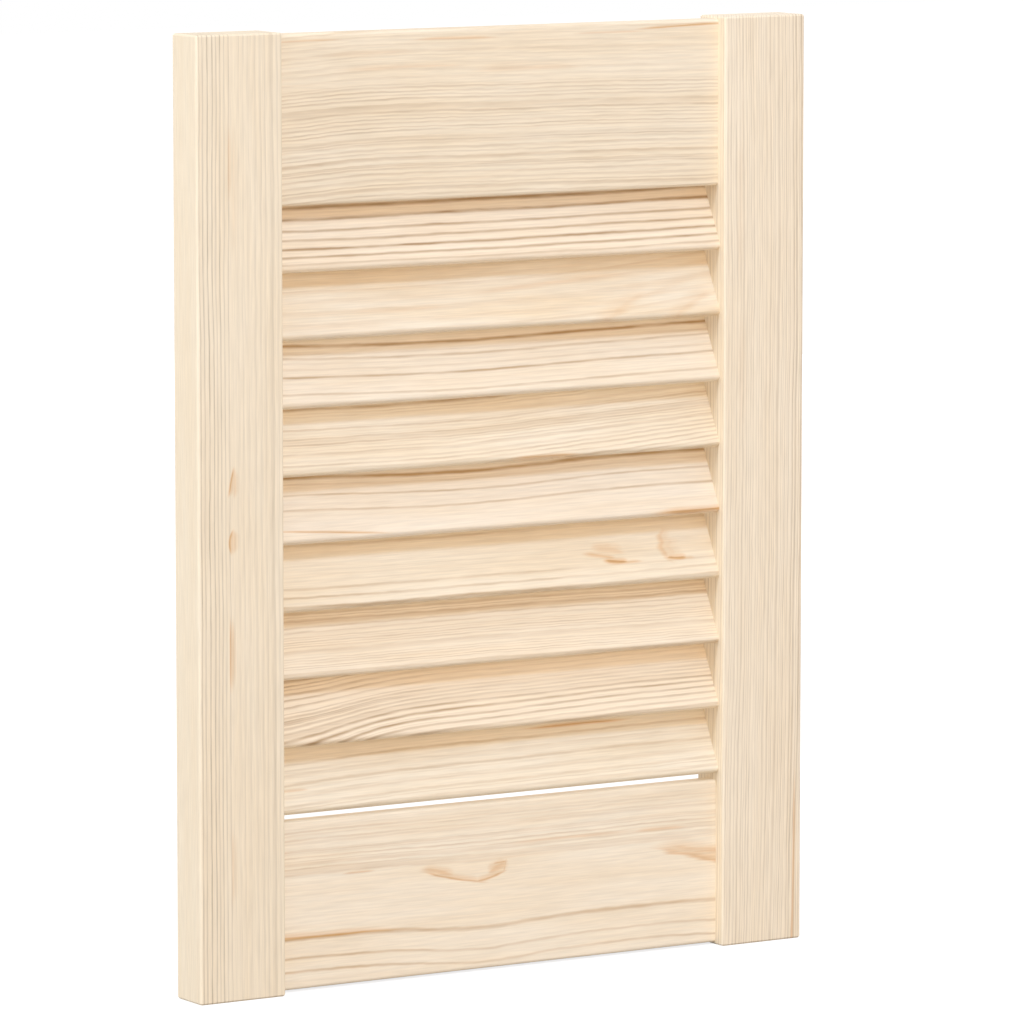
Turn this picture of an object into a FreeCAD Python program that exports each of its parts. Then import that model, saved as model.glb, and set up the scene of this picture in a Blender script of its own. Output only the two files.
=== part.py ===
import FreeCAD
import Part
import math
import os
from FreeCAD import Vector

# Louvred cabinet door in bare softwood: a dowelled frame whose stiles carry a ladder of slanted slats.
# Millimetres. The front faces -Y, X runs across the door, and the origin is the middle of the door's foot.

# Frame
DOOR_WIDTH = 294.0
DOOR_HEIGHT = 395.0
STILE_WIDTH = 40.0
STILE_THICKNESS = 20.0
STILE_ARRIS = 1.2           # radius worked along the stiles' edges
STILE_END_CHAMFER = 0.7     # eases the stiles' sawn ends
RAIL_THICKNESS = 9.0        # rails stand in the middle of the stiles' thickness
TOP_RAIL_HEIGHT = 70.0
BOTTOM_RAIL_HEIGHT = 70.0
RAIL_END_INSET = 1.0        # the rails stop this far short of the stiles' ends
RAIL_ARRIS = 1.5

# Slats
SLAT_COUNT = 9
SLAT_THICKNESS = 4.5
SLAT_TILT = 27.0            # degrees from upright, with the lower edge to the front
SLAT_ARRIS = 1.5
NOSE_SETBACK = 3.6          # from the stiles' front to the slats' lower edge
HEEL_SETBACK = 0.2          # from the slats' upper edge to the stiles' back
GAP_BELOW_SLATS = 3.0       # between the bottom rail and the lowest slat
GAP_ABOVE_SLATS = 0.2       # between the highest slat and the top rail

# Slat ends: a round-ended tongue in a stopped, slanted housing
TONGUE_LENGTH = 6.0
TONGUE_CHEEK = 0.25         # shoulder on each face of the slat
TONGUE_SHOULDER = 3.5       # shoulder on each edge of the slat
TONGUE_CLEARANCE = 0.05
HOUSING_END_GAP = 0.5

# Dowels, two in each end of each rail
DOWEL_DIAMETER = 5.0
DOWEL_LENGTH = 30.0
DOWEL_CHAMFER = 0.6
DOWEL_INSET = 15.0          # from a rail's edge to the dowel's axis
DOWEL_CLEARANCE = 0.05
DOWEL_END_GAP = 1.0         # room for glue past each end of a dowel
FLUTE_COUNT = 12
FLUTE_DEPTH = 0.25
FLUTE_SHARE = 0.4           # part of the dowel's girth that the flutes take

# Sizes that follow from those above
opening_width = DOOR_WIDTH - 2 * STILE_WIDTH
bottom_rail_foot = RAIL_END_INSET
bottom_rail_top = bottom_rail_foot + BOTTOM_RAIL_HEIGHT
top_rail_foot = DOOR_HEIGHT - RAIL_END_INSET - TOP_RAIL_HEIGHT

tilt_sine = math.sin(math.radians(SLAT_TILT))
tilt_cosine = math.cos(math.radians(SLAT_TILT))
slat_depth = STILE_THICKNESS - NOSE_SETBACK - HEEL_SETBACK
slat_y = (NOSE_SETBACK - HEEL_SETBACK) / 2
flat_half_thickness = SLAT_THICKNESS / 2 - SLAT_ARRIS
flat_half_width = (slat_depth / 2 - SLAT_ARRIS - flat_half_thickness * tilt_cosine) / tilt_sine
slat_width = 2 * (flat_half_width + SLAT_ARRIS)
slat_rise = 2 * (flat_half_width * tilt_cosine + flat_half_thickness * tilt_sine + SLAT_ARRIS)
lowest_slat_z = bottom_rail_top + GAP_BELOW_SLATS + slat_rise / 2
highest_slat_z = top_rail_foot - GAP_ABOVE_SLATS - slat_rise / 2
slat_pitch = (highest_slat_z - lowest_slat_z) / (SLAT_COUNT - 1)
slat_heights = [highest_slat_z - slat_pitch * place for place in range(SLAT_COUNT)]

tongue_width = slat_width - 2 * TONGUE_SHOULDER
tongue_thickness = SLAT_THICKNESS - 2 * TONGUE_CHEEK

SIDES = {"left": -1, "right": 1}
RAILS = {                   # each rail's foot and height
    "top": (top_rail_foot, TOP_RAIL_HEIGHT),
    "bottom": (bottom_rail_foot, BOTTOM_RAIL_HEIGHT),
}


def rounded_bar(length, width, thickness, radius):
    """A bar along X, width upright and thickness along Y, with its long edges rounded; it starts at X = 0."""
    flat_y = thickness / 2 - radius
    flat_z = width / 2 - radius
    centres = ((flat_y, flat_z), (-flat_y, flat_z), (-flat_y, -flat_z), (flat_y, -flat_z))
    arcs = []
    for corner, (y, z) in enumerate(centres):
        points = []
        for step in (0, 1, 2):
            angle = math.radians(90 * corner + 45 * step)
            points.append(Vector(0, y + radius * math.cos(angle), z + radius * math.sin(angle)))
        arcs.append(Part.Arc(*points).toShape())
    edges = []
    for arc, following in zip(arcs, arcs[1:] + arcs[:1]):
        edges.append(arc)
        start = arc.Vertexes[-1].Point
        end = following.Vertexes[0].Point
        if start.distanceToPoint(end) > Part.Precision.confusion():
            edges.append(Part.makeLine(start, end))
    return Part.Face(Part.Wire(edges)).extrude(Vector(length, 0, 0))


def place_slanted(bar, start_x, height):
    """Leans an upright bar back to the slats' tilt and sets it at one slat's height."""
    leaning = bar.rotated(Vector(0, 0, 0), Vector(1, 0, 0), -SLAT_TILT)
    return leaning.translated(Vector(start_x, slat_y, height))


def slat(height):
    """A slat that fills the opening's width, with a tongue on each end."""
    body = rounded_bar(opening_width, slat_width, SLAT_THICKNESS, SLAT_ARRIS)
    tongue_span = opening_width + 2 * TONGUE_LENGTH
    tongues = rounded_bar(tongue_span, tongue_width, tongue_thickness, tongue_thickness / 2)
    shape = body.fuse(tongues.translated(Vector(-TONGUE_LENGTH, 0, 0))).removeSplitter()
    return place_slanted(shape, -opening_width / 2, height)


def housing(side, height):
    """The slot in a stile's inner face that takes one slat's tongue."""
    depth = TONGUE_LENGTH + HOUSING_END_GAP
    width = tongue_width + 2 * TONGUE_CLEARANCE
    thickness = tongue_thickness + 2 * TONGUE_CLEARANCE
    slot = rounded_bar(depth, width, thickness, thickness / 2)
    start_x = opening_width / 2
    if side < 0:
        start_x = -opening_width / 2 - depth
    return place_slanted(slot, start_x, height)


def dowel_heights(rail_foot, rail_height):
    return {"lower": rail_foot + DOWEL_INSET, "upper": rail_foot + rail_height - DOWEL_INSET}


def dowel_hole(side, height):
    """The hole that runs from a stile through the joint into a rail's end."""
    length = DOWEL_LENGTH + 2 * DOWEL_END_GAP
    start = Vector(side * opening_width / 2 - length / 2, 0, height)
    return Part.makeCylinder(DOWEL_DIAMETER / 2 + DOWEL_CLEARANCE, length, start, Vector(1, 0, 0))


def fluted_outline():
    """Section of a dowel across X: flat ridges with a groove between each pair."""
    radius = DOWEL_DIAMETER / 2
    pitch = 2 * math.pi / FLUTE_COUNT
    ridge_edge = pitch * (1 - FLUTE_SHARE) / 2
    points = []
    for ridge in range(FLUTE_COUNT):
        for turn, reach in ((-ridge_edge, radius), (ridge_edge, radius), (pitch / 2, radius - FLUTE_DEPTH)):
            angle = pitch * ridge + turn
            points.append(Vector(0, reach * math.cos(angle), reach * math.sin(angle)))
    return Part.makePolygon(points + points[:1])


def dowel(side, height):
    """A fluted dowel with eased ends, half in the rail and half in the stile."""
    pin = Part.Face(fluted_outline()).extrude(Vector(DOWEL_LENGTH, 0, 0))
    end_edges = [edge for edge in pin.Edges if edge.BoundBox.XLength < DOWEL_CHAMFER]
    pin = pin.makeChamfer(DOWEL_CHAMFER, end_edges)
    return pin.translated(Vector(side * opening_width / 2 - DOWEL_LENGTH / 2, 0, height))


def stile(side):
    """An upright with a housing for every slat and holes for the rails' dowels."""
    post = rounded_bar(DOOR_HEIGHT, STILE_WIDTH, STILE_THICKNESS, STILE_ARRIS)
    post = post.rotated(Vector(0, 0, 0), Vector(0, 1, 0), -90)
    end_edges = [edge for edge in post.Edges if edge.BoundBox.ZLength < STILE_END_CHAMFER]
    post = post.makeChamfer(STILE_END_CHAMFER, end_edges)
    post = post.translated(Vector(side * (DOOR_WIDTH - STILE_WIDTH) / 2, 0, 0))
    cuts = [housing(side, height) for height in slat_heights]
    for foot, rail_height in RAILS.values():
        cuts += [dowel_hole(side, height) for height in dowel_heights(foot, rail_height).values()]
    return post.cut(cuts)


def rail(foot, height):
    """A board between the stiles, bored at both ends for its dowels."""
    bar = rounded_bar(opening_width, height, RAIL_THICKNESS, RAIL_ARRIS)
    bar = bar.translated(Vector(-opening_width / 2, 0, foot + height / 2))
    holes = []
    for side in SIDES.values():
        holes += [dowel_hole(side, hole_height) for hole_height in dowel_heights(foot, height).values()]
    return bar.cut(holes)


nodes = {}
for side_name, side in SIDES.items():
    nodes[f"{side_name}_stile"] = stile(side)
for rail_name, (foot, height) in RAILS.items():
    nodes[f"{rail_name}_rail"] = rail(foot, height)
    for side_name, side in SIDES.items():
        for place, dowel_z in dowel_heights(foot, height).items():
            nodes[f"{rail_name}_{side_name}_{place}_dowel"] = dowel(side, dowel_z)
for number, slat_z in enumerate(slat_heights, start=1):
    nodes[f"slat_{number}"] = slat(slat_z)

os.makedirs("parts", exist_ok=True)
for name, shape in nodes.items():
    shape.exportStep(f"parts/{name}.step")
    print(f"{name}: {len(shape.Solids)} solid, valid {shape.isValid()}, {shape.Volume:.0f} mm3")
print(f"slats {slat_width:.2f} wide, {slat_pitch:.2f} apart, rise {slat_rise:.2f}")
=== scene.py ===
import math
from dataclasses import dataclass

import bmesh
import bpy
from mathutils import Euler, Matrix, Vector


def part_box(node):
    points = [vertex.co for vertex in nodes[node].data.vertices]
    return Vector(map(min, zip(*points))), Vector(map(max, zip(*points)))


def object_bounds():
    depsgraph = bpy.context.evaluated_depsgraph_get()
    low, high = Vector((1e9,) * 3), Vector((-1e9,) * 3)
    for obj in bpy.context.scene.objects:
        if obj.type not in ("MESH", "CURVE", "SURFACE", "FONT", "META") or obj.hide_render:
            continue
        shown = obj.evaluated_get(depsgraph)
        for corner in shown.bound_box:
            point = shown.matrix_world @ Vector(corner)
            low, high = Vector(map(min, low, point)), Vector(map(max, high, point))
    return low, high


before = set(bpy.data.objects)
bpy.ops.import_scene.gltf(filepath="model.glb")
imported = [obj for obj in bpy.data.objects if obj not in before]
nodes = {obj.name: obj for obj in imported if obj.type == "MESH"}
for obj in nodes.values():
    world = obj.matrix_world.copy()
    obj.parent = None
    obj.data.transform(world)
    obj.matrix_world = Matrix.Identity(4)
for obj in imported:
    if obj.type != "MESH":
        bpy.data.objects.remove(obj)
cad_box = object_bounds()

# Louvred cabinet door in bare, sanded pine. The frame gives every piece its shape; this script gives each board
# the figure of its own cut, and sets the studio. Places on a board are in millimetres: along it from its left or
# upper end, and across it from its lower or left edge.

MM = 0.001


def linear(colour):
    """Turns an sRGB hex colour into the linear RGBA that shaders take."""
    channels = [int(colour[place:place + 2], 16) / 255 for place in (1, 3, 5)]
    return [c / 12.92 if c <= 0.04045 else ((c + 0.055) / 1.055) ** 2.4 for c in channels] + [1.0]


def add(tree, kind, settings=None, out=0, **inputs):
    """Adds a node and gives one of its outputs. An input is a value or another node's output; i2 stands for the
    third input, and _ in a name for a space."""
    node = tree.nodes.new("ShaderNode" + kind)
    for name, value in (settings or {}).items():
        setattr(node, name, value)
    for name, value in inputs.items():
        key = int(name[1:]) if name[1:].isdigit() else name.replace("_", " ")
        if isinstance(value, bpy.types.NodeSocket):
            tree.links.new(value, node.inputs[key])
        else:
            node.inputs[key].default_value = value
    return node.outputs[out]


def fill_ramp(ramp, stops):
    """Gives a colour ramp grey stops, each a place from 0 to 1 and a level."""
    while len(ramp.elements) > 1:
        ramp.elements.remove(ramp.elements[-1])
    for count, (place, level) in enumerate(sorted(stops)):
        stop = ramp.elements[0] if count == 0 else ramp.elements.new(place)
        stop.position = place
        stop.color = (level, level, level, 1)


@dataclass
class Cut:
    """How a kind of board lies in the door: X of its frame runs along the grain, Y across its face and Z out of
    the front."""
    lie: Matrix
    length: float
    width: float
    front: float        # from the middle of its thickness to its front face


@dataclass
class Mark:
    """An amber streak or a knot's edge: a leaf shape on a board's face, on both sides of its darkest line."""
    along: float        # middle of that line
    across: float
    length: float
    width: float
    depth: float        # how far the line turns amber, 0 to 1
    turn: float = 0.0   # degrees
    bow: float = 0.0    # rise of the line's ends
    heart: float = 0.5  # where the line runs in the leaf: at 0.5 it fades alike to both sides, near 0 it is an edge


@dataclass
class Board:
    """One board's figure."""
    cut: Cut
    early: str          # colour of the early wood
    late: str           # colour of the late-wood lines
    sweep: tuple        # how far the rings have moved across the board, at places along it
    far_sweep: float = 1.0      # share of that sweep at the board's other edge
    ripple: float = 0.4         # wobble of the lines
    lines: tuple = ()   # strong lines, each at a place across with its depth and breadth
    lines_along: tuple = ((0, 1), (1, 1))   # how they keep that depth, at shares of the board's length
    ring: float = 2.0   # between fine rings
    fine: tuple = ((0, 0.1), (1, 0.1))      # depth of the fine rings, at shares of the board's width
    fine_along: tuple = ((0, 1), (1, 1))    # how they keep that depth, at shares of its length
    mottle: float = 0.5         # share of the honey tone in its darkest patches
    pith: tuple = (60, 4)       # from its edge to the heart of its tree, across and behind
    marks: tuple = ()   # amber streaks and knots' edges


stile_low, stile_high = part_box("left_stile")
rail_low, rail_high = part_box("top_rail")
SLAT_TILT = math.radians(27)
SLAT_WIDTH, SLAT_THICKNESS = 29.1, 4.5
UPRIGHT = math.radians(90)
STILE = Cut(Matrix(((0, 1, 0), (0, 0, -1), (-1, 0, 0))), (stile_high.z - stile_low.z) / MM,
            (stile_high.x - stile_low.x) / MM, (stile_high.y - stile_low.y) / MM / 2)
RAIL = Cut(Euler((UPRIGHT, 0, 0)).to_matrix(), (rail_high.x - rail_low.x) / MM, (rail_high.z - rail_low.z) / MM,
           (rail_high.y - rail_low.y) / MM / 2)
SLAT = Cut(Euler((UPRIGHT - SLAT_TILT, 0, 0)).to_matrix(), RAIL.length, SLAT_WIDTH, SLAT_THICKNESS / 2)

BOARDS = {
    # Straight crisp lines along the outer third, calm wood with three amber flecks beside them
    "left_stile": Board(
        STILE, "#F4E7CC", "#B3A48C", ((0, 0), (200, 0.2), (395, 0.6)), ripple=0.15,
        lines=((1.1, 0.6, 0.45), (2.8, 0.55, 0.45), (5, 0.8, 0.45), (7.2, 0.7, 0.45), (8.9, 0.45, 0.5),
               (10.7, 0.65, 0.45), (12.6, 0.45, 0.45), (14.5, 0.45, 0.45)),
        ring=2.6, fine=((0, 0), (0.36, 0), (0.5, 0.2), (1, 0.36)), mottle=0.3,
        marks=(Mark(181, 15.1, 14, 3.2, 0.68, -12, 0.6, 0.25), Mark(182, 17.2, 13, 5, 0.3),
               Mark(205.5, 14.6, 12, 3.4, 0.68, -4, 1.8, 0.22), Mark(205.5, 16.9, 11, 5, 0.34),
               Mark(252, 14.7, 36, 1.8, 0.66, 0, 0, 0.35), Mark(252, 16, 34, 3.6, 0.32),
               Mark(52, 14.8, 36, 2.4, 0.3, 0, 0, 0.25), Mark(62, 17.5, 60, 5, 0.1),
               Mark(340, 15.4, 36, 4, 0.2, 0, 0, 0.3))),
    # Fine rings all over, closing up and darkening to the outer edge
    "right_stile": Board(
        STILE, "#F8EBD1", "#BCA88C", ((0, 0), (180, 0.6), (395, -2)), ripple=0.2,
        lines=((38.4, 0.7, 0.6), (35.6, 0.5, 0.6)),
        ring=1.15, fine=((0, 0.46), (0.5, 0.42), (0.8, 0.6), (1, 0.8)), mottle=0.3, pith=(60, 40),
        marks=(Mark(370, 36, 110, 2, 0.55, -0.9), Mark(80, 8, 70, 6, 0.08), Mark(150, 9, 60, 6, 0.08))),
    # Even rings that rise a little from the left end, and a broader calm figure along the top
    "top_rail": Board(
        RAIL, "#F5E8CE", "#BC9E76", ((0, -1.6), (18, -0.6), (40, 0.4), (110, 0.2), (214, -1.2)),
        lines=((36, 0.55, 0.8), (24.2, 0.45, 0.7), (21, 0.35, 0.7), (17, 0.5, 0.8), (13.8, 0.4, 0.7),
               (4.7, 0.45, 0.8), (46, 0.4, 0.7), (0.6, 0.3, 0.8)),
        ring=2.1, fine=((0, 0.55), (0.6, 0.55), (0.72, 0.25), (1, 0.25)),
        fine_along=((0, 1), (0.2, 1), (0.4, 0.75), (1, 0.8)),
        marks=(Mark(85, 66, 46, 2.2, 0.45), Mark(196, 67.8, 54, 2, 0.7, 1.8), Mark(14, 67, 38, 1.6, 0.38, 1),
               Mark(60, 55, 70, 3, 0.22), Mark(120, 53, 60, 6, 0.16), Mark(160, 66, 40, 1.6, 0.3),
               Mark(45, 61, 50, 4, 0.12))),
    # Three strong lines below, a plain band with two amber knots' edges, and wavy rings above
    "bottom_rail": Board(
        RAIL, "#FAEED6", "#C49F6E",
        ((0, 2.6), (40, 1.9), (60, 1), (70, 0), (80, -1.2), (100, -2.2), (112, -1.9), (138, -0.3), (185, 0),
         (214, -1.2)),
        far_sweep=0.0,
        lines=((19.4, 0.85, 1.5), (10.8, 0.65, 0.9), (5.1, 0.65, 0.9), (47, 0.4, 1), (49.2, 0.4, 0.8),
               (51.6, 0.35, 1.1), (56.9, 0.4, 0.8), (61.8, 0.35, 0.8), (65.3, 0.35, 0.8)),
        lines_along=((0, 1), (0.2, 1), (0.36, 0.7), (0.5, 0.6), (1, 0.65)),
        ring=2.3, fine=((0, 0.06), (0.66, 0.06), (0.68, 0.4), (0.84, 0.38), (0.9, 0.2), (1, 0.2)),
        marks=(Mark(84, 39.4, 38, 3.6, 0.64, -13, 1.2, 0.2), Mark(101.5, 38.2, 20, 3.4, 0.64, 12, 1.2, 0.25),
               Mark(76.5, 43.2, 20, 6, 0.5, -14), Mark(105, 42.4, 12, 8, 0.5, 24), Mark(106.4, 44.3, 9, 2, 0.6, 4),
               Mark(108.7, 42.6, 7, 1.8, 0.5, 78), Mark(208, 37, 60, 10, 0.55, -14, 1, 0.2),
               Mark(205, 41.4, 40, 8, 0.44, -9), Mark(212, 39.8, 30, 2, 0.55, -2),
               Mark(18, 21.6, 90, 3.4, 0.62, -1, 0, 0.2), Mark(38, 46.4, 18, 1.6, 0.5),
               Mark(140, 52, 70, 2, 0.3), Mark(186, 51.4, 30, 2.6, 0.38))),
    # Bold, nearly straight lines from nose to heel
    "slat_1": Board(
        SLAT, "#F7E8CE", "#B4956E", ((0, 0), (110, 0), (214, 0.8)), ripple=0.22,
        lines=((2, 0.5, 1), (5.1, 0.85, 1), (8.6, 1, 1.1), (12.6, 0.82, 1.1), (16.8, 0.8, 1.1), (21.9, 0.9, 1.3),
               (27, 1, 1.6)),
        ring=2.2, fine=((0, 0.12), (1, 0.14))),
    # Pale, with a broad blotchy figure that slants up at the right
    "slat_2": Board(
        SLAT, "#F2E5CC", "#CDAC80", ((0, 0), (90, 0), (150, 2), (180, 4.5), (214, 8)),
        ring=4.2, fine=((0, 0.25), (1, 0.25)), mottle=1.0,
        marks=(Mark(135, 18, 90, 5, 0.2, 4), Mark(165, 4, 42, 10, 0.22, 30, 0, 0.35),
               Mark(198, 3.4, 38, 9, 0.22, 30, 0, 0.35), Mark(60, 10, 60, 4, 0.1), Mark(186, 12, 50, 6, 0.12, 14),
               Mark(12, 4, 110, 9, 0.12))),
    # Strong lines that sag in the middle, the boldest near the heel
    "slat_3": Board(
        SLAT, "#F5E8D0", "#B79568", ((0, 2.2), (40, 0.9), (80, 0), (105, 0), (150, 1), (214, 1.9)), ripple=0.25,
        lines=((3, 0.5, 0.9), (10.7, 0.72, 1), (14, 0.25, 0.9), (18.5, 0.52, 0.9), (20.6, 0.25, 0.8),
               (24.1, 1, 1.3)),
        ring=2.2, fine=((0, 0.12), (1, 0.14))),
    # Fine wavy rings that climb to the right; towards the heel they are drawn fainter as painted light, so the
    # upper face just below the shade of the slat above renders paler
    "slat_4": Board(
        SLAT, "#F6E9CF", "#BA976B", ((0, 0.3), (60, -0.3), (100, 0.3), (150, 3), (214, 7)), far_sweep=0.8,
        lines=((12.2, 0.5, 0.8), (18.4, 0.45, 0.8), (14.6, 0.45, 0.8), (8, 0.35, 0.8), (3.2, 0.4, 0.8),
               (27.6, 0.7, 1.3)),
        ring=2.0, fine=((0, 0.56), (0.4, 0.52), (0.6, 0.38), (1, 0.35)),
        fine_along=((0, 0.5), (0.45, 0.7), (0.75, 1), (1, 1)),
        marks=(Mark(128, 0.4, 40, 1.8, 0.65),)),
    # Few strong lines, sagging in the middle
    "slat_5": Board(
        SLAT, "#F4E7D0", "#BC9A6C",
        ((0, 2.4), (20, 1.9), (50, 0.7), (80, 0), (115, 0.1), (150, 1.3), (185, 2), (214, 1.9)), ripple=0.25,
        lines=((11.2, 0.56, 0.9), (17.8, 0.56, 0.8), (22.4, 0.3, 1), (25.7, 1, 1.6)),
        ring=2.4, fine=((0, 0.1), (1, 0.12)),
        marks=(Mark(24, 3.2, 66, 1.8, 0.68, -4.4), Mark(205, 0.9, 54, 3.6, 0.8, 0, 0, 0.4))),
    # Plain, with lines along the nose and the amber edges of two knots
    "slat_6": Board(
        SLAT, "#F3E5CA", "#BC9A6C", ((0, 0.6), (100, -0.2), (214, 0.6)),
        lines=((0.5, 0.6, 1), (4.4, 0.5, 0.9), (8, 0.45, 1), (26.8, 0.45, 1.4)),
        lines_along=((0, 1), (0.6, 1), (0.7, 0.4), (1, 0.8)),
        ring=2.4, fine=((0, 0.1), (1, 0.12)),
        marks=(Mark(165, 9.6, 15, 4, 0.88, -6, 0.6, 0.4), Mark(170, 9, 18, 2.6, 0.5),
               Mark(158, 12.6, 20, 4, 0.5, -12), Mark(162.5, 15.6, 18, 8, 0.32, -10), Mark(160, 17, 14, 5, 0.28),
               Mark(195, 9.3, 13, 4.2, 0.8, -3, 0.6, 0.4), Mark(199, 9, 12, 2.6, 0.35),
               Mark(189, 14.8, 18, 9, 0.44, -88, 5, 0.35), Mark(193, 13.6, 12, 12, 0.24, -84, 2))),
    # Faint fine rings
    "slat_7": Board(
        SLAT, "#F5E6CB", "#C0A077", ((0, 0.3), (100, 0), (214, -1)),
        lines=((23.4, 0.6, 1), (26.6, 0.35, 1), (1, 0.4, 0.8)),
        ring=1.5, fine=((0, 0.45), (1, 0.5))),
    # Rings that plunge at the left end, where a branch stood close by; the lines in its upper part are drawn
    # fainter as painted light, so the face just below the shade of the slat above renders paler
    "slat_8": Board(
        SLAT, "#F9E9CD", "#B29269",
        ((0, -12.9), (10, -11.9), (20, -10.7), (30, -9), (40, -7.1), (50, -5.5), (60, -4.3), (80, -3), (110, -2),
         (214, 0)),
        far_sweep=0.35, ripple=0.25,
        lines=((13.7, 0.85, 0.9), (11.4, 0.95, 0.9), (8.8, 0.9, 0.9), (6.2, 0.8, 0.9), (3.6, 0.6, 0.9),
               (1.2, 0.65, 0.9), (15.7, 0.5, 0.8), (17.3, 0.5, 0.8), (18.9, 0.5, 0.8), (20.5, 0.5, 0.8)),
        lines_along=((0, 1), (0.3, 0.95), (0.5, 0.65), (1, 0.75)),
        ring=1.6, fine=((0, 0.4), (0.5, 0.75), (1, 0.85)), fine_along=((0, 1), (0.2, 0.75), (0.4, 0.3), (1, 0.28)),
        mottle=0.3),
    # Broad faint rings, climbing from the left end; the rings and lines in its upper half are drawn fainter as
    # painted light, so the face just below the shade of the slat above renders paler
    "slat_9": Board(
        SLAT, "#F4E8CF", "#BF9F72", ((0, -3), (25, -1.8), (60, -0.5), (100, 0), (214, 0.8)),
        lines=((22.7, 0.5, 1), (18.2, 0.28, 1.1), (14, 0.45, 1.1), (9, 0.3, 1.1), (5.3, 0.35, 1.1), (1.4, 0.3, 1)),
        ring=2.6, fine=((0, 0.34), (0.5, 0.28), (0.7, 0.14), (1, 0.16)),
        marks=(Mark(150, 26.4, 60, 2.6, 0.75), Mark(8, 9.2, 16, 2, 0.38))),
}

# Pine. Lengths are in millimetres, and the sizes of a noise run along the grain, across the board and through it.
HONEY = "#FAF2E6"       # tints the early wood in patches
AMBER = "#DAA35B"       # knots' edges and resin streaks
BROWN = "#A07850"       # their darkest lines
BROWN_FROM = 0.5        # depth of amber at which the brown starts
BROWN_MOST = 0.5        # share of brown in the deepest amber
BOARD_STEP = 90.0       # from one board's place in every noise to the next board's
SWEEP_REACH = 20.0      # farthest that the rings can sweep
WANDER_SIZE = (70, 14, 14)
WANDER = 0.8            # how far the rings wander to either side
RIPPLE_SIZE = (8, 3.5, 3.5)
RING_MARGIN = 8.0       # rings this far outside a board still cross it as they sweep
LINE_RISE = 1.1         # a strong line darkens over this share of its breadth
LINE_FALL = 0.9         # and ends over this one
RHYTHM = 0.3            # changes in the breadth of the fine rings, per ring
RHYTHM_REACH = 2.0      # how far those changes move them, in rings
SEASON = ((0, 0.1), (0.35, 0), (0.8, 1), (0.9, 0.9), (1, 0.1))      # darkness of the wood through a year
PALEST_YEAR = 0.5       # beside 1 for the darkest
STREAK_SIZE = (24, 2.4, 2.4)
FIBRE_SIZE = (16, 0.7, 0.7)         # coarser than real fibres, which would not show
NOISE_RANGE = {"From_Min": 0.3, "From_Max": 0.7}        # most of a noise lies in it
LATE_FAINT, LATE_DEEP = 0.6, 1.2    # how the late wood varies along a line
FIBRE_DARK, FIBRE_PALE = 0.94, 1.05
FRAY = 0.4              # of a mark's edges, in shares of its width
MARK_FULL = 0.1         # square of the share of a mark's length that has its full depth
MARK_TIP = 0.4          # breadth of its tips beside its middle
MARK_TAIL = 0.3         # share of the way from its line to its far side at which half its depth is left
PATCH_SIZE = (90, 9, 9)
PATCH_RANGE = {"From_Min": 0.35, "From_Max": 0.65}
PINE_DULL, PINE_SATIN = 0.75, 0.55  # roughness
LATE_POLISH = 0.1       # how much smoother the late wood is
LATE_RELIEF = 0.6       # how far it stands proud, beside the fibres
PINE_BUMP, PINE_RELIEF = 0.25, 0.05 * MM


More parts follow.
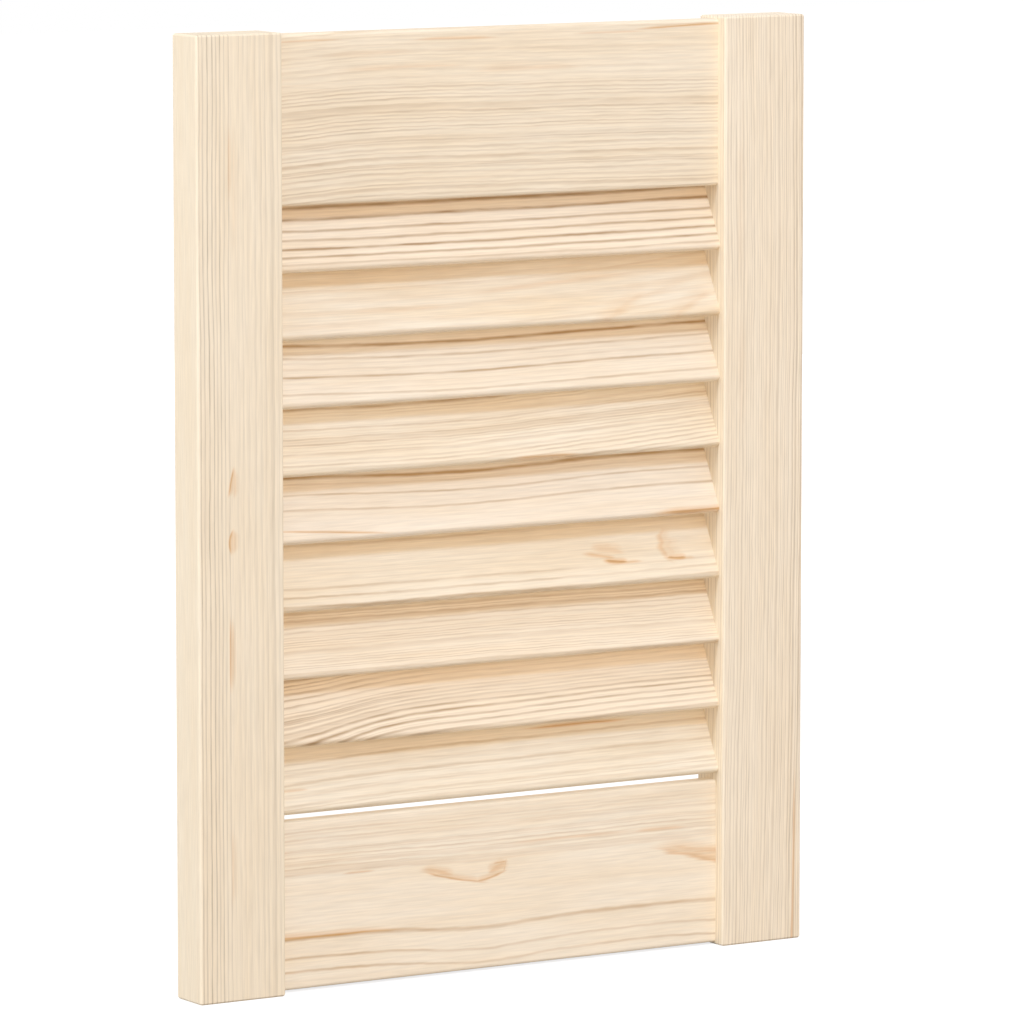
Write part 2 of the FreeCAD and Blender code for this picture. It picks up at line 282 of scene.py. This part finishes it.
def pine(name, number, board):
    """Sanded pine: cream early wood, tan late-wood lines, faint fibres and a dull satin surface."""
    material = bpy.data.materials.new("pine_" + name)
    material.use_nodes = True
    tree = material.node_tree
    shader = tree.nodes["Principled BSDF"]
    cut = board.cut
    low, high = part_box(name)
    start = (low + high) / 2 + cut.lie @ Vector((-cut.length / 2, -cut.width / 2, 0)) * MM
    here = add(tree, "TexCoord", out="Object")
    place = add(tree, "Mapping", {"vector_type": "TEXTURE"}, Vector=here, Location=start,
                Rotation=cut.lie.to_euler(), Scale=(MM, MM, MM))
    along = add(tree, "SeparateXYZ", Vector=place)
    across = along.node.outputs["Y"]
    own = add(tree, "VectorMath", i0=place, i1=(0, BOARD_STEP * number, 0))

    # Rings: distance from the tree's heart, moved by the sweep, by a slow wander and by small ripples
    share = add(tree, "Math", {"operation": "DIVIDE"}, i0=along, i1=cut.length)
    bend = add(tree, "FloatCurve", Value=share)
    curve = bend.node.mapping.curves[0]
    for count, (far, shift) in enumerate(board.sweep):
        spot = (far / cut.length, 0.5 + shift / 2 / SWEEP_REACH)
        if count < 2:
            curve.points[count].location = spot
        else:
            curve.points.new(*spot)
    bend.node.mapping.update()
    shift = add(tree, "MapRange", Value=bend, To_Min=-SWEEP_REACH, To_Max=SWEEP_REACH)
    fade = add(tree, "MapRange", Value=across, From_Max=cut.width, To_Max=board.far_sweep, To_Min=1.0)
    shift = add(tree, "Math", {"operation": "MULTIPLY"}, i0=shift, i1=fade)
    slow = add(tree, "VectorMath", {"operation": "DIVIDE"}, i0=own, i1=WANDER_SIZE)
    wander = add(tree, "TexNoise", Vector=slow, Scale=1.0, Detail=1.0)
    wander = add(tree, "MapRange", Value=wander, To_Min=-WANDER, To_Max=WANDER)
    shift = add(tree, "Math", i0=shift, i1=wander)
    quick = add(tree, "VectorMath", {"operation": "DIVIDE"}, i0=own, i1=RIPPLE_SIZE)
    ripple = add(tree, "TexNoise", Vector=quick, Scale=1.0, Detail=1.0)
    ripple = add(tree, "MapRange", Value=ripple, To_Min=-board.ripple, To_Max=board.ripple)
    shift = add(tree, "Math", i0=shift, i1=ripple)
    from_heart = add(tree, "VectorMath", {"operation": "MULTIPLY_ADD"}, i0=place, i1=(0, 1, 1), i2=(0, *board.pith))
    radius = add(tree, "VectorMath", {"operation": "LENGTH"}, out="Value", i0=from_heart)
    radius = add(tree, "Math", {"operation": "SUBTRACT"}, i0=radius, i1=shift)

    def ring_at(far):
        return math.hypot(far + board.pith[0], cut.front + board.pith[1])

    # Strong lines
    inner, outer = ring_at(-RING_MARGIN), ring_at(cut.width + RING_MARGIN)
    stops = [(0, 0), (1, 0)]
    for far, depth, breadth in board.lines:
        middle = (ring_at(far) - inner) / (outer - inner)
        reach = breadth / (outer - inner)
        stops += [(middle - LINE_RISE * reach, 0), (middle, depth), (middle + LINE_FALL * reach, 0)]
    spot = add(tree, "MapRange", Value=radius, From_Min=inner, From_Max=outer)
    strong = add(tree, "ValToRGB", Fac=spot)
    strong.node.color_ramp.interpolation = "EASE"
    fill_ramp(strong.node.color_ramp, stops)
    keep = add(tree, "ValToRGB", Fac=share)
    fill_ramp(keep.node.color_ramp, board.lines_along)
    strong = add(tree, "Math", {"operation": "MULTIPLY"}, i0=strong, i1=keep)

    # Fine rings, each of its own breadth and depth
    count = add(tree, "Math", {"operation": "DIVIDE"}, i0=radius, i1=board.ring)
    uneven = add(tree, "TexNoise", {"noise_dimensions": "1D"}, W=count, Scale=RHYTHM, Detail=1.0)
    count = add(tree, "Math", {"operation": "MULTIPLY_ADD"}, i0=uneven, i1=RHYTHM_REACH, i2=count)
    year = add(tree, "Math", {"operation": "FLOOR"}, i0=count)
    season = add(tree, "Math", {"operation": "FRACT"}, i0=count)
    season = add(tree, "ValToRGB", Fac=season)
    season.node.color_ramp.interpolation = "EASE"
    fill_ramp(season.node.color_ramp, SEASON)
    growth = add(tree, "TexWhiteNoise", {"noise_dimensions": "1D"}, W=year)
    growth = add(tree, "MapRange", Value=growth, To_Min=PALEST_YEAR, To_Max=1.0)
    spot = add(tree, "Math", {"operation": "DIVIDE"}, i0=across, i1=cut.width)
    depth = add(tree, "ValToRGB", Fac=spot)
    fill_ramp(depth.node.color_ramp, board.fine)
    fine = add(tree, "Math", {"operation": "MULTIPLY"}, i0=season, i1=growth)
    fine = add(tree, "Math", {"operation": "MULTIPLY"}, i0=fine, i1=depth)
    keep = add(tree, "ValToRGB", Fac=share)
    fill_ramp(keep.node.color_ramp, board.fine_along)
    fine = add(tree, "Math", {"operation": "MULTIPLY"}, i0=fine, i1=keep)
    late = add(tree, "Math", {"operation": "MAXIMUM"}, i0=strong, i1=fine)

    # Late wood fades and deepens along the grain, and fine fibres run through all of it
    streak = add(tree, "VectorMath", {"operation": "DIVIDE"}, i0=own, i1=STREAK_SIZE)
    streak = add(tree, "TexNoise", Vector=streak, Scale=1.0, Detail=2.0)
    life = add(tree, "MapRange", Value=streak, To_Min=LATE_FAINT, To_Max=LATE_DEEP, **NOISE_RANGE)
    late = add(tree, "Math", {"operation": "MULTIPLY"}, i0=late, i1=life)
    fibre = add(tree, "VectorMath", {"operation": "DIVIDE"}, i0=own, i1=FIBRE_SIZE)
    fibre = add(tree, "TexNoise", Vector=fibre, Scale=1.0, Detail=2.0)

    # Amber marks, with edges frayed along the grain
    amber = None
    for mark in board.marks:
        spot = add(tree, "Mapping", {"vector_type": "TEXTURE"}, Vector=place,
                   Location=(mark.along, mark.across, 0), Rotation=(0, 0, math.radians(mark.turn)),
                   Scale=(mark.length / 2, mark.width, mark.width))
        lengthwise = add(tree, "SeparateXYZ", Vector=spot)
        far = add(tree, "Math", {"operation": "MULTIPLY"}, i0=lengthwise, i1=lengthwise)
        side = add(tree, "Math", {"operation": "MULTIPLY_ADD"}, i0=far, i1=-mark.bow / mark.width,
                   i2=lengthwise.node.outputs["Y"])
        side = add(tree, "Math", {"operation": "MULTIPLY_ADD"}, i0=streak, i1=FRAY, i2=side)
        taper = add(tree, "MapRange", {"interpolation_type": "SMOOTHSTEP"}, Value=far, From_Min=1.0,
                    From_Max=MARK_FULL)
        reach = add(tree, "MapRange", Value=taper, To_Min=MARK_TIP)
        side = add(tree, "Math", {"operation": "DIVIDE"}, i0=side, i1=reach)
        side = add(tree, "Math", i0=side, i1=mark.heart - FRAY / 2)
        stain = add(tree, "ValToRGB", Fac=side)
        stain.node.color_ramp.interpolation = "EASE"
        tail = mark.heart + MARK_TAIL * (1 - mark.heart)
        fill_ramp(stain.node.color_ramp, ((0, 0), (mark.heart, mark.depth), (tail, mark.depth / 2), (1, 0)))
        stain = add(tree, "Math", {"operation": "MULTIPLY"}, i0=stain, i1=taper)
        amber = stain if amber is None else add(tree, "Math", {"operation": "MAXIMUM"}, i0=amber, i1=stain)

    # Colour
    drift = add(tree, "VectorMath", {"operation": "DIVIDE"}, i0=own, i1=PATCH_SIZE)
    drift = add(tree, "TexNoise", Vector=drift, Scale=1.0, Detail=2.0)
    drift = add(tree, "MapRange", Value=drift, To_Max=board.mottle, **PATCH_RANGE)
    honey = add(tree, "Mix", {"data_type": "RGBA", "blend_type": "MULTIPLY"}, out=2, i0=drift,
                i6=linear(board.early), i7=linear(HONEY))
    tone = add(tree, "Mix", {"data_type": "RGBA"}, out=2, i0=late, i6=honey, i7=linear(board.late))
    if amber is not None:
        tone = add(tree, "Mix", {"data_type": "RGBA"}, out=2, i0=amber, i6=tone, i7=linear(AMBER))
        darkest = add(tree, "MapRange", Value=amber, From_Min=BROWN_FROM, To_Max=BROWN_MOST)
        tone = add(tree, "Mix", {"data_type": "RGBA"}, out=2, i0=darkest, i6=tone, i7=linear(BROWN))
    grey = add(tree, "MapRange", Value=fibre, To_Min=FIBRE_DARK, To_Max=FIBRE_PALE, **NOISE_RANGE)
    tone = add(tree, "Mix", {"data_type": "RGBA", "blend_type": "MULTIPLY"}, out=2, i0=1.0, i6=tone, i7=grey)
    tree.links.new(tone, shader.inputs["Base Color"])

    # Surface: fibres are dull, late wood is a little smoother and stands proud
    sheen = add(tree, "MapRange", Value=fibre, To_Min=PINE_DULL, To_Max=PINE_SATIN)
    sheen = add(tree, "Math", {"operation": "MULTIPLY_ADD"}, i0=late, i1=-LATE_POLISH, i2=sheen)
    tree.links.new(sheen, shader.inputs["Roughness"])
    relief = add(tree, "Math", {"operation": "MULTIPLY_ADD"}, i0=late, i1=LATE_RELIEF, i2=fibre)
    bump = add(tree, "Bump", Strength=PINE_BUMP, Distance=PINE_RELIEF, Height=relief)
    tree.links.new(bump, shader.inputs["Normal"])
    return material


# Beech
BEECH_TAN, BEECH_DARK = "#D9B48C", "#B58A5E"
FLECK_SIZE = (3 * MM, 0.4 * MM, 0.4 * MM)
FLECK_RANGE = {"From_Min": 0.55, "From_Max": 0.75}      # of the noise, from plain wood to the middle of a fleck
BEECH_SATIN, BEECH_DULL = 0.5, 0.7  # roughness
BEECH_BUMP, BEECH_RELIEF = 0.3, 0.05 * MM


def beech():
    """Plain beech of the dowels: pinkish tan, with short dark flecks along the grain."""
    material = bpy.data.materials.new("beech")
    material.use_nodes = True
    tree = material.node_tree
    shader = tree.nodes["Principled BSDF"]
    here = add(tree, "TexCoord", out="Object")
    fleck = add(tree, "Mapping", {"vector_type": "TEXTURE"}, Vector=here, Scale=FLECK_SIZE)
    fleck = add(tree, "TexNoise", Vector=fleck, Scale=1.0, Detail=1.0)
    dark = add(tree, "MapRange", Value=fleck, **FLECK_RANGE)
    tone = add(tree, "Mix", {"data_type": "RGBA"}, out=2, i0=dark, i6=linear(BEECH_TAN), i7=linear(BEECH_DARK))
    tree.links.new(tone, shader.inputs["Base Color"])
    sheen = add(tree, "MapRange", Value=fleck, To_Min=BEECH_SATIN, To_Max=BEECH_DULL)
    tree.links.new(sheen, shader.inputs["Roughness"])
    bump = add(tree, "Bump", Strength=BEECH_BUMP, Distance=BEECH_RELIEF, Height=fleck)
    tree.links.new(bump, shader.inputs["Normal"])
    return material


for number, (name, board) in enumerate(BOARDS.items()):
    nodes[name].data.materials.clear()
    nodes[name].data.materials.append(pine(name, number, board))
peg_wood = beech()
for name, piece in nodes.items():
    if name.endswith("dowel"):
        piece.data.materials.clear()
        piece.data.materials.append(peg_wood)

# Studio: a pale floor, white all round and four soft lamps
scene = bpy.context.scene
scene.view_settings.view_transform = "Standard"

FLOOR_REACH = 6.0       # metres from the door to each side
WHITE = "#FFFFFF"
floor_mesh = bmesh.new()
bmesh.ops.create_grid(floor_mesh, x_segments=1, y_segments=1, size=FLOOR_REACH)
floor_data = bpy.data.meshes.new("floor")
floor_mesh.to_mesh(floor_data)
floor_mesh.free()
floor = bpy.data.objects.new("floor", floor_data)
scene.collection.objects.link(floor)


def shown(tree):
    """1 where the camera sees a surface, straight on or in a reflection, and 0 for light on its way."""
    rays = add(tree, "LightPath", out="Is Camera Ray")
    seen = rays
    for kind in ("Is Glossy Ray", "Is Transmission Ray"):
        seen = add(tree, "Math", {"operation": "MAXIMUM"}, i0=seen, i1=rays.node.outputs[kind])
    return seen


# White paper: throws back a grey share of the light, and shows near white with a faint shadow
PAPER_GREY = "#A8A8A8"
PAPER_GLOW = 0.76
paper = bpy.data.materials.new("white_paper")
paper.use_nodes = True
tree = paper.node_tree
tree.nodes.remove(tree.nodes["Principled BSDF"])
matt = add(tree, "BsdfDiffuse", Color=linear(PAPER_GREY))
lift = add(tree, "Math", {"operation": "MULTIPLY"}, i0=shown(tree), i1=PAPER_GLOW)
glow = add(tree, "Emission", Color=linear(WHITE), Strength=lift)
both = add(tree, "AddShader", i0=matt, i1=glow)
tree.links.new(both, tree.nodes["Material Output"].inputs["Surface"])
floor_data.materials.append(paper)

# White room: lights the door a little warmer and dimmer than it shows
ROOM_LIGHT, ROOM_TINT = 0.82, "#FFF1E7"
world = bpy.data.worlds.new("white_room")
scene.world = world
world.use_nodes = True
tree = world.node_tree
seen = shown(tree)
level = add(tree, "MapRange", Value=seen, To_Min=ROOM_LIGHT, To_Max=1.0)
tree.links.new(level, tree.nodes["Background"].inputs["Strength"])
tint = add(tree, "Mix", {"data_type": "RGBA"}, out=2, i0=seen, i6=linear(ROOM_TINT), i7=linear(WHITE))
tree.links.new(tint, tree.nodes["Background"].inputs["Color"])

aim = (Vector(cad_box[0]) + Vector(cad_box[1])) / 2


def lamp(name, azimuth, elevation, distance, size, power, tint):
    """A soft lamp that looks at the door; azimuth 0 is straight in front, and 90 is to the right. Angles are in
    degrees, distance and size in metres, power in watts."""
    data = bpy.data.lights.new(name, "AREA")
    data.shape = "DISK"
    data.size = size
    data.energy = power
    data.color = linear(tint)[:3]
    source = bpy.data.objects.new(name, data)
    scene.collection.objects.link(source)
    turn, rise = math.radians(azimuth), math.radians(elevation)
    away = Vector((math.sin(turn) * math.cos(rise), -math.cos(turn) * math.cos(rise), math.sin(rise)))
    source.location = aim + away * distance
    source.rotation_euler = away.to_track_quat("Z", "Y").to_euler()


lamp("key", 0, 44, 3.0, 0.5, 29.6, "#AED5FF")
lamp("fill", -6, 8, 3.0, 1.6, 22.7, "#FFE5CF")
lamp("left", -86, 20, 2.5, 0.4, 26.5, "#E5EFFF")
lamp("behind", 140, 4, 2.5, 1.0, 9, "#F0F5FF")

CAMERA_PLACE = (-1.5851, -2.5792, 0.5682)
CAMERA_DOWN = math.radians(7.082)       # how far it looks down
CAMERA_TURN = math.radians(31.703)      # and to the right
LENS, SENSOR = 258.05, 36.0             # millimetres
VIEW_DEPTH = 50.0
camera_data = bpy.data.cameras.new("camera")
camera = bpy.data.objects.new("camera", camera_data)
scene.collection.objects.link(camera)
scene.camera = camera
camera.location = CAMERA_PLACE
camera.rotation_euler = (UPRIGHT - CAMERA_DOWN, 0, -CAMERA_TURN)
camera_data.sensor_width = SENSOR
camera_data.lens = LENS
camera_data.clip_end = VIEW_DEPTH

bpy.context.view_layer.update()
